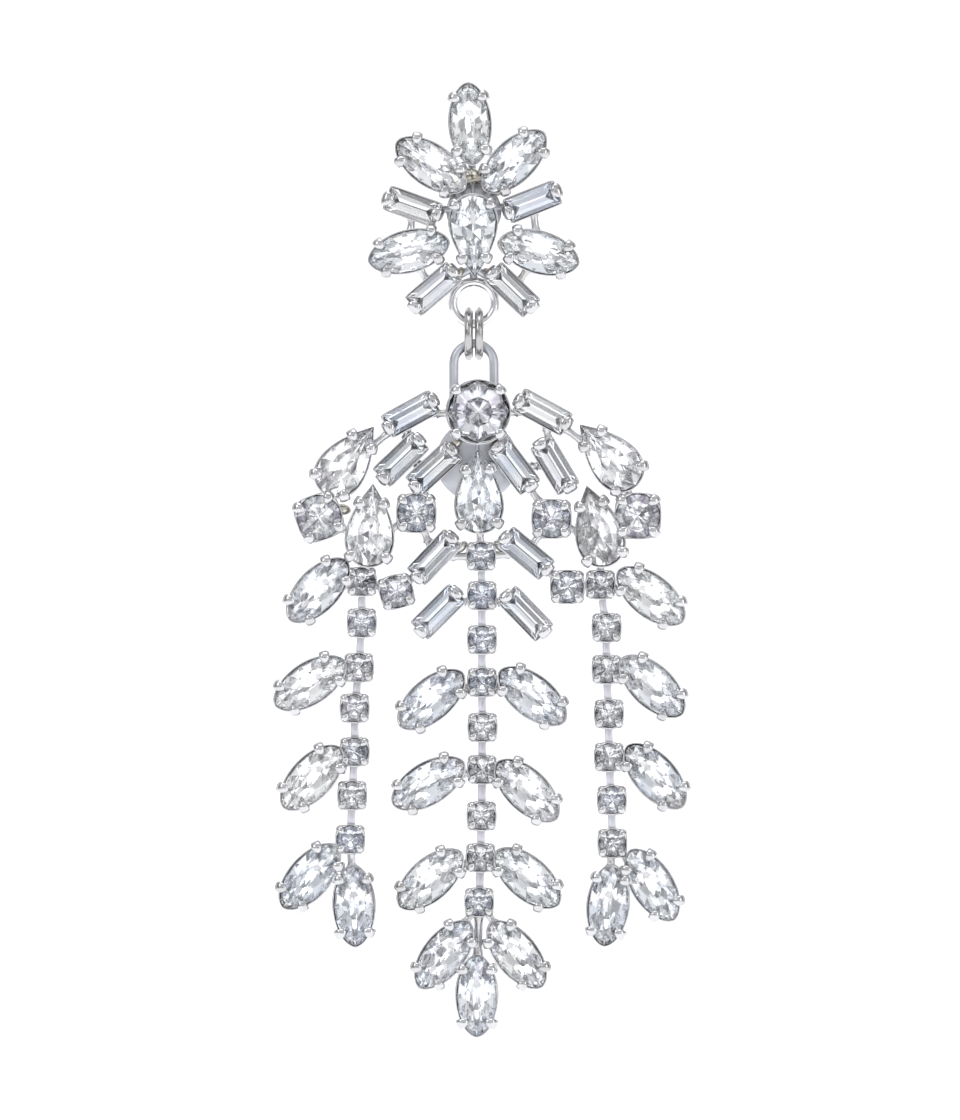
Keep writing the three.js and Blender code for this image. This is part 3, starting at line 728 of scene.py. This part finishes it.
# Plating: patches of colour, uneven polish and a fine cast waviness
def platingGroup():
    inputs = {"Clean": "Color", "Tarnished": "Color", "Smooth": "Float", "Rough": "Float"}
    outputs = {"Colour": "Color", "Roughness": "Float", "Height": "Float"}
    group, start, end = nodeGroup("platingWear", "ShaderNodeTree", inputs, outputs)
    colour = mixed(group, "RGBA", patternMask(group, "patches"), start["Clean"], start["Tarnished"])
    polish = mixed(group, "FLOAT", patternMask(group, "polish"), start["Smooth"], start["Rough"])
    height = noiseAt(group, waves["scale"], waves["detail"])
    for value, name in ((colour, "Colour"), (polish, "Roughness"), (height, "Height")):
        group.links.new(value, end[name])
    return group


# Stone colour: faint cool and lilac drifts from stone to stone
def tintGroup():
    inputs = {"Clear": "Color", "Cool": "Color", "Lilac": "Color"}
    group, start, end = nodeGroup("stoneTint", "ShaderNodeTree", inputs, {"Colour": "Color"})
    cool = mixed(group, "RGBA", patternMask(group, "cool"), start["Clear"], start["Cool"])
    lilac = mixed(group, "RGBA", patternMask(group, "lilac"), cool, start["Lilac"])
    group.links.new(lilac, end["Colour"])
    return group


groups = {"plating": platingGroup(), "tint": tintGroup()}


def emptyMaterial(name):
    material = bpy.data.materials.new(name)
    material.use_nodes = True
    return material, material.node_tree, material.node_tree.nodes["Principled BSDF"]


# A shared group in a material, with the values of one look
def groupNode(tree, name, look):
    node = tree.nodes.new("ShaderNodeGroup")
    node.node_tree = groups[name]
    return setInputs(node, {socket.name: look[socket.name.lower()] for socket in node.inputs})


# Metals share the plating group, each with its own values
metalColumns = ("clean", "tarnished", "smooth", "rough", "bump")
metals = dict(
    polishedPlating=((0.62, 0.62, 0.63, 1), (0.46, 0.45, 0.45, 1), 0.08, 0.2, 0.1),
    greyBacking=((0.56, 0.57, 0.61, 1), (0.46, 0.47, 0.5, 1), 0.3, 0.48, 0.25),
    paleBar=((0.68, 0.68, 0.73, 1), (0.58, 0.58, 0.62, 1), 0.3, 0.45, 0.15),
    wireSteel=((0.46, 0.45, 0.45, 1), (0.34, 0.32, 0.31, 1), 0.12, 0.26, 0.15),
    brightWire=((0.78, 0.78, 0.79, 1), (0.62, 0.62, 0.62, 1), 0.1, 0.24, 0.15),
    silverSolder=((0.62, 0.62, 0.63, 1), (0.5, 0.48, 0.45, 1), 0.16, 0.34, 0.4),
    warmSolder=((0.66, 0.64, 0.58, 1), (0.52, 0.46, 0.34, 1), 0.16, 0.34, 0.4),
)


def metalMaterial(name):
    look = dict(zip(metalColumns, metals[name]))
    material, tree, shader = emptyMaterial(name)
    wear = groupNode(tree, "plating", look)
    depth = {"Strength": look["bump"], "Distance": waves["depth"] * mm}
    bump = setInputs(tree.nodes.new("ShaderNodeBump"), depth)
    shader.inputs["Metallic"].default_value = 1.0
    tree.links.new(wear.outputs["Colour"], shader.inputs["Base Color"])
    tree.links.new(wear.outputs["Roughness"], shader.inputs["Roughness"])
    tree.links.new(wear.outputs["Height"], bump.inputs["Height"])
    tree.links.new(bump.outputs["Normal"], shader.inputs["Normal"])
    return material


# Stones share the tint group: clear crystal in front, mirror foil behind, a greyer foil on every second wedge
# that is painted shade for the dark reflected wedges
crystalIor = 1.56
foilRoughness = 0.08
stoneLooks = dict(
    clearCrystal=dict(clear=(1, 1, 1, 1), cool=(0.97, 0.98, 1, 1), lilac=(0.98, 0.97, 1, 1), glass=True),
    mirrorFoil=dict(clear=(0.97, 0.975, 0.97, 1), cool=(0.88, 0.91, 0.95, 1), lilac=(0.93, 0.91, 0.95, 1),
                    glass=False),
    # The greyer foil is painted shade: it darkens alternate wedges as dark reflections would
    paintedShadeFoil=dict(clear=(0.74, 0.75, 0.77, 1), cool=(0.7, 0.72, 0.78, 1), lilac=(0.76, 0.72, 0.8, 1),
                    glass=False),
)


def stoneMaterial(name):
    look = stoneLooks[name]
    glass = look["glass"]
    material, tree, shader = emptyMaterial(name)
    tint = groupNode(tree, "tint", look)
    tree.links.new(tint.outputs["Colour"], shader.inputs["Base Color"])
    shader.inputs["Roughness"].default_value = 0.0 if glass else foilRoughness
    shader.inputs["IOR"].default_value = crystalIor
    shader.inputs["Metallic"].default_value = 0.0 if glass else 1.0
    shader.inputs["Transmission Weight"].default_value = 1.0 if glass else 0.0
    return material


finish = {name: metalMaterial(name) for name in metals}
finish.update({name: stoneMaterial(name) for name in stoneLooks})
print("materials ready")


def placesByName(rows):
    return {name: (right, up) for name, _, right, up, _ in rows}


def liftedName(name):
    return name if name in lifted else ""


# Every setting and prong of a group of stones, as plain meshes
def settingMeshes(rows):
    meshes = []
    kinds = sorted({(kind, liftedName(name)) for name, kind, *_ in rows})
    for kind, special in kinds:
        places = []
        for name, rowKind, right, up, turn in rows:
            if rowKind == kind and liftedName(name) == special:
                places.append((facePoint(right, up, seatHeight(kind, name)), turn, (1, 1, 1)))
        meshes.append(copies(settingCorners(kind, special), places, finish["polishedPlating"]))
    places = []
    for name, kind, right, up, turn in rows:
        for x, y, facing in prongPlaces(kind):
            aside, above = turned(x, y, turn)
            at = facePoint(right + aside, up + above, seatHeight(kind, name))
            places.append((at, turn + facing, prongSizes[kind]))
    meshes.append(copies(prongShape(), places, finish["polishedPlating"]))
    return meshes


# How far a setting reaches from its middle towards a heading in degrees
def settingReach(kind, turn, heading):
    grow = setting["gap"] + setting["wall"]

    def offHeading(point):
        away = math.degrees(math.atan2(point[1], point[0])) + turn - heading
        return abs((away + 180) % 360 - 180)

    edge = [settingPoint(kind, degrees / 360, 1.0, grow) for degrees in range(360)]
    nearest = min(edge, key=offHeading)
    return math.hypot(*nearest)


# The gap between the settings at both ends of a run: its middle, its heading and its length
def gapBetween(a, b, startSetting, endSetting):
    a, b = Vector(a), Vector(b)
    run = b - a
    heading = math.degrees(math.atan2(run.y, run.x))
    near = settingReach(*startSetting, heading) if startSetting else 0.0
    far = settingReach(*endSetting, heading + 180) if endSetting else 0.0
    along = run.normalized()
    start, end = a + along * near, b - along * far
    return (start + end) / 2, heading, run.length - near - far


# Backing wires between named places, each with a waisted web in the gap between its two settings
def backingMeshes(pairs, places, rows):
    kinds = {name: (kind, turn) for name, kind, _, _, turn in rows}
    paths, webs = [], []
    for start, end in pairs:
        a, b = places[start], places[end]
        paths.append(([facePoint(*a, backing["wireOut"]), facePoint(*b, backing["wireOut"])], False))
        if start in kinds and end in kinds:
            middle, heading, gap = gapBetween(a, b, kinds[start], kinds[end])
            size = (max(gap, 0.0) + 2 * backing["webBite"], backing["webHigh"], backing["webWide"])
            webs.append((facePoint(*middle, backing["webOut"]), heading, size))
    return [wires(paths, backing["wire"], backing["wireSides"], finish["greyBacking"]),
            copies(webShape(), webs, finish["silverSolder"])]


# Heaps of warmer solder where many settings meet
def solderHeap(spots):
    places = [(facePoint(right, up, out), turn, size) for right, up, out, turn, size in spots]
    return copies(ballShape(), places, finish["warmSolder"])


def discMesh(disc):
    low, high, edge = backing["discLow"], backing["discHigh"], backing["discRound"]
    radius = disc["radius"]
    bevel = edge * bevelShare
    profile = [(radius - edge, low), (radius - bevel, low + bevel), (radius, low + edge),
               (radius, high - edge), (radius - bevel, high - bevel), (radius - edge, high)]
    mesh = meshFrom("disc", *turnedShape(profile, backing["discSides"]))
    mesh.transform(Matrix.Translation(facePoint(disc["right"], disc["up"], 0)))
    return withMaterials(mesh, finish["greyBacking"])


def circlePath(right, up, radius, acrossFace=True):
    path = []
    for cosine, sine in around(rings["steps"]):
        if acrossFace:
            path.append(facePoint(right + radius * cosine, up + radius * sine, rings["out"]))
        else:
            path.append(facePoint(right, up + radius * sine, rings["out"] + radius * cosine))
    return path, True


def bailPath():
    path = [facePoint(bail["right"] + bail["radius"], bail["up"] - bail["legs"], rings["out"])]
    for i in range(bail["steps"] + 1):
        angle = math.pi * i / bail["steps"]
        path.append(facePoint(bail["right"] + bail["radius"] * math.cos(angle),
                              bail["up"] + bail["radius"] * math.sin(angle), rings["out"]))
    path.append(facePoint(bail["right"] - bail["radius"], bail["up"] - bail["legs"], rings["out"]))
    return path, False


def finishedPiece(piece, body, slot, *nodes):
    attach(piece, body)
    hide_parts(*nodes)


def metalPiece(name, meshes, body, node, smoothing="metal"):
    finishedPiece(joinedPiece(name, meshes, smoothAngles[smoothing]), body, "silver_metal", node)


def stonePiece(name, rows, body, node):
    meshes = [withMaterials(stoneMesh(*row), *stoneFinish(row[1])) for row in rows]
    finishedPiece(joinedPiece(name, meshes), body, "clear_crystal", node)


# Stud
studPlaces = placesByName(studStones)
studPlaces["hub"] = (studHub["right"], studHub["up"])
pearRight, pearUp = studPlaces["pear"]
studPlaces["pear_tip"] = (pearRight, pearUp - studHub["tipBelowPear"])
studPlaces["ring_top"] = (studRing["right"], studRing["up"] + studRing["radius"])
studParts = settingMeshes(studStones) + backingMeshes(studWires, studPlaces, studStones) + [
    discMesh(studHub),
    solderHeap(studHeaps),
    wires([circlePath(studRing["right"], studRing["up"], studRing["radius"])], studRing["wire"],
          rings["sides"], finish["brightWire"]),
]
metalPiece("stud_metalwork", studParts, "stud", "stud_setting")
print("stud metalwork made")

# Drop
dropPlaces = placesByName(dropStones)
dropPlaces["disc"] = (backDisc["right"], backDisc["up"])


def onSide(name, side):
    return name + side if name + side in dropPlaces else name


for start, end in dropWiresBothSides:
    dropWires.extend((onSide(start, side), onSide(end, side)) for side in ("_left", "_right"))
dropParts = settingMeshes(dropStones) + backingMeshes(dropWires, dropPlaces, dropStones) + [
    discMesh(backDisc),
    solderHeap(dropHeaps),
    wires([bailPath()], bail["wire"], rings["sides"], finish["greyBacking"]),
]
metalPiece("drop_metalwork", dropParts, "drop", "drop_setting")
print("drop metalwork made")

# Stones of the stud and the drop, each on its own node
for body, rows in (("stud", studStones), ("drop", dropStones)):
    for row in rows:
        node = body + "_" + row[0]
        stonePiece(node + "_cut", [row], body, node)
print("stones cut")

# Strands: metal and stones are a piece each
def barPlace(start, end, startSetting, endSetting):
    middle, heading, gap = gapBetween(start, end, startSetting, endSetting)
    out = (connector["low"] + connector["high"]) / 2
    size = (max(gap, 0.0) + 2 * connector["bite"], connector["high"] - connector["low"], connector["width"])
    return facePoint(*middle, out), heading, size


for name, strand in strands.items():
    cupRows = [("cup", "cupRound", right, up, 0) for right, up in strand["cups"]]
    leafRows = [("leaf", kind, right, up, turn) for _, kind, right, up, turn in strand["leaves"]]
    top = Vector(strand["cups"][0])
    towards = Vector(dropPlaces[strand["hangsFrom"]]) - top
    reach = cuts["cupRound"]["radius"] + setting["gap"] + setting["wall"] + connector["strandGap"]
    topEnd = top + towards.normalized() * (towards.length - reach)
    cupSetting = ("cupRound", 0)
    bars = [barPlace(top, topEnd, cupSetting, None)]
    bars += [barPlace(a, b, cupSetting, cupSetting) for a, b in zip(strand["cups"], strand["cups"][1:])]
    webs = []
    for cup, kind, right, up, turn in strand["leaves"]:
        leafBar = barPlace(strand["cups"][cup - 1], (right, up), cupSetting, (kind, turn))
        bars.append(leafBar)
        at, heading, (length, _, _) = leafBar
        webs.append((at, heading, (length + backing["webBite"], backing["webHigh"], backing["webWide"])))
    metalParts = settingMeshes(cupRows + leafRows) + [
        copies(blockShape(connector["edge"]), bars, finish["paleBar"]),
        copies(webShape(), webs, finish["silverSolder"]),
    ]
    metalPiece(name + "_metalwork", metalParts, "drop", name)
    stonePiece(name + "_stones", cupRows + leafRows, "drop", name)
print("strands made")

# Jump rings between the stud's ring and the bail
for side, aside in (("left", -1), ("right", 1)):
    path = circlePath(aside * jumpRings["apart"] / 2, jumpRings["up"], jumpRings["radius"], acrossFace=False)
    wire = wires([path], jumpRings["wire"], rings["sides"], finish["wireSteel"])
    node = "jump_ring_" + side
    metalPiece(node + "_wire", [wire], "link", node, "wire")
print("jump rings made")


# Ear post: a round pad and a pin with a groove near its rounded end, along +Y from the origin
def postProfile():
    edge, fillet, pin = earPost["edge"], earPost["fillet"], earPost["radius"]
    groove, deep, wide = earPost["grooveAt"], earPost["grooveDepth"], earPost["grooveWidth"]
    pad, thick = earPost["padRadius"], earPost["padThick"]
    bevel, slope = edge * bevelShare, wide * earPost["grooveSlope"]
    rows = [(pad - edge, thick), (pad - bevel, thick - bevel), (pad, thick - edge), (pad, edge),
            (pad - bevel, bevel), (pad - edge, 0.0),
            (pin + fillet, 0.0), (pin + fillet / 4, -fillet / 4), (pin, -fillet),
            (pin, -groove), (pin - deep, -groove - slope), (pin - deep, -groove - wide + slope),
            (pin, -groove - wide)]
    for radiusShare, lengthShare in earPost["tipShares"]:
        rows.append((pin * radiusShare, -earPost["length"] + earPost["tip"] * lengthShare))
    return rows


postMesh = withMaterials(meshFrom("post", *turnedShape(postProfile(), earPost["sides"])), finish["wireSteel"])
metalPiece("ear_post_pin", [postMesh], "stud", "ear_post")
print("ear post made")

# Studio in metres: a pale floor that curves up behind, soft lights, dark cards that the stones mirror
studio = dict(floor=-0.15, back=1.5, bend=0.4, bendSteps=12, half=6.0, height=1.8, glow=0.38,
              floorColour=(0.93, 0.93, 0.94, 1), floorRoughness=0.9)
# Name, place from the earring's middle, width, power in watts
lights = [
    ("key", (-0.55, -0.55, 0.45), 0.45, 1.1),
    ("fill", (0.6, -0.5, 0.15), 0.4, 0.7),
    ("top", (0.0, -0.1, 0.75), 0.6, 1.6),
    ("low", (0.0, -0.6, -0.5), 0.4, 0.4),
]
# Name, then degrees round from the front, degrees up, and how many degrees wide and tall a card looks
cards = [
    ("card_lens", 0, 0, 16, 16),
    ("card_left", -32, 12, 7, 60),
    ("card_right", 34, 8, 7, 60),
    ("card_far_left", -62, 0, 9, 70),
    ("card_far_right", 66, 0, 9, 70),
    ("card_low", 0, -38, 50, 8),
    ("card_high", 0, 42, 50, 8),
    ("card_side_left", -98, 0, 12, 70),
    ("card_side_right", 98, 0, 12, 70),
    ("card_rear_left", -140, 0, 14, 70),
    ("card_rear_right", 140, 0, 14, 70),
    ("card_rear", 180, 0, 14, 70),
]
cardRange = 0.62
cardColour = (0.12, 0.12, 0.13, 1)
cardRoughness = 0.8
earringMiddle = (cadLow + cadHigh) / 2


def floorMesh():
    rows = [(-studio["half"], studio["floor"]), (studio["back"] - studio["bend"], studio["floor"])]
    for i in range(1, studio["bendSteps"] + 1):
        angle = math.pi / 2 * i / studio["bendSteps"]
        rows.append((studio["back"] - studio["bend"] + studio["bend"] * math.sin(angle),
                     studio["floor"] + studio["bend"] * (1 - math.cos(angle))))
    rows.append((studio["back"], studio["floor"] + studio["height"]))
    points = []
    for y, z in rows:
        points += [(-studio["half"], y, z), (studio["half"], y, z)]
    faces = [(2 * i, 2 * i + 1, 2 * i + 3, 2 * i + 2) for i in range(len(rows) - 1)]
    mesh = bpy.data.meshes.new("sweep")
    mesh.from_pydata(points, [], faces)
    mesh.shade_smooth()
    return mesh


def paperMaterial(name, colour, roughness):
    material, _, shader = emptyMaterial(name)
    setInputs(shader, {"Base Color": colour, "Roughness": roughness})
    return material


sweepPaper = paperMaterial("sweepPaper", studio["floorColour"], studio["floorRoughness"])
sweepShader = sweepPaper.node_tree.nodes["Principled BSDF"]
setInputs(sweepShader, {"Emission Color": (1, 1, 1, 1), "Emission Strength": studio["glow"]})
floor = sceneObject("studio_sweep", withMaterials(floorMesh(), sweepPaper))
cardPaper = paperMaterial("cardPaper", cardColour, cardRoughness)


def aimed(thing, place):
    thing.location = place
    thing.rotation_mode = "QUATERNION"
    thing.rotation_quaternion = (earringMiddle - Vector(place)).to_track_quat("-Z", "Y")


for name, azimuth, elevation, wide, tall in cards:
    a, e = math.radians(azimuth), math.radians(elevation)
    halfWide = cardRange * math.tan(math.radians(wide / 2))
    halfTall = cardRange * math.tan(math.radians(tall / 2))
    mesh = bpy.data.meshes.new(name)
    mesh.from_pydata([(-halfWide, -halfTall, 0), (halfWide, -halfTall, 0), (halfWide, halfTall, 0),
                      (-halfWide, halfTall, 0)], [], [(0, 1, 2, 3)])
    card = sceneObject(name, withMaterials(mesh, cardPaper))
    outwards = Vector((math.sin(a) * math.cos(e), -math.cos(a) * math.cos(e), math.sin(e)))
    aimed(card, earringMiddle + outwards * cardRange)
    card.visible_camera = False
    card.visible_shadow = False
    card.visible_diffuse = False

for name, place, size, power in lights:
    lamp = bpy.data.lights.new(name, "AREA")
    lamp.shape = "DISK"
    lamp.size = size
    lamp.energy = power
    holder = bpy.data.objects.new(name, lamp)
    bpy.context.scene.collection.objects.link(holder)
    aimed(holder, earringMiddle + Vector(place))
    holder.visible_camera = False

# The room is bright ahead and overhead, and greyer to both sides
room = dict(colour=(0.97, 0.98, 1.0, 1), sideFrom=0.5, sideTo=0.95, bright=0.88, grey=0.42)


def roomWorld():
    world = bpy.data.worlds.new("studioRoom")
    world.use_nodes = True
    tree = world.node_tree
    background = setInputs(tree.nodes["Background"], {"Color": room["colour"]})
    direction = tree.nodes.new("ShaderNodeTexCoord")
    parts = tree.nodes.new("ShaderNodeSeparateXYZ")
    sideways = tree.nodes.new("ShaderNodeMath")
    sideways.operation = "ABSOLUTE"
    tree.links.new(direction.outputs["Object"], parts.inputs[0])
    tree.links.new(parts.outputs["X"], sideways.inputs[0])
    band = (room["sideFrom"], room["sideTo"], room["bright"], room["grey"])
    tree.links.new(ranged(tree, sideways.outputs[0], *band), background.inputs["Strength"])
    return world


bpy.context.scene.world = roomWorld()
bpy.context.scene.view_settings.view_transform = "Standard"
# Light turns many times between a stone's foiled facets
bpy.context.scene.cycles.glossy_bounces = 10

# Camera straight in front, framed on the whole earring
view = dict(distance=0.6, shownHeight=0.118, sensor=36, nearest=0.01)
camera = bpy.data.cameras.new("camera")
camera.sensor_width = view["sensor"]
camera.lens = view["sensor"] * view["distance"] / view["shownHeight"]
camera.clip_start = view["nearest"]
holder = bpy.data.objects.new("camera", camera)
bpy.context.scene.collection.objects.link(holder)
holder.location = earringMiddle + Vector((0, -view["distance"], 0))
holder.rotation_euler = (math.pi / 2, 0, 0)
bpy.context.scene.camera = holder
print("studio ready")
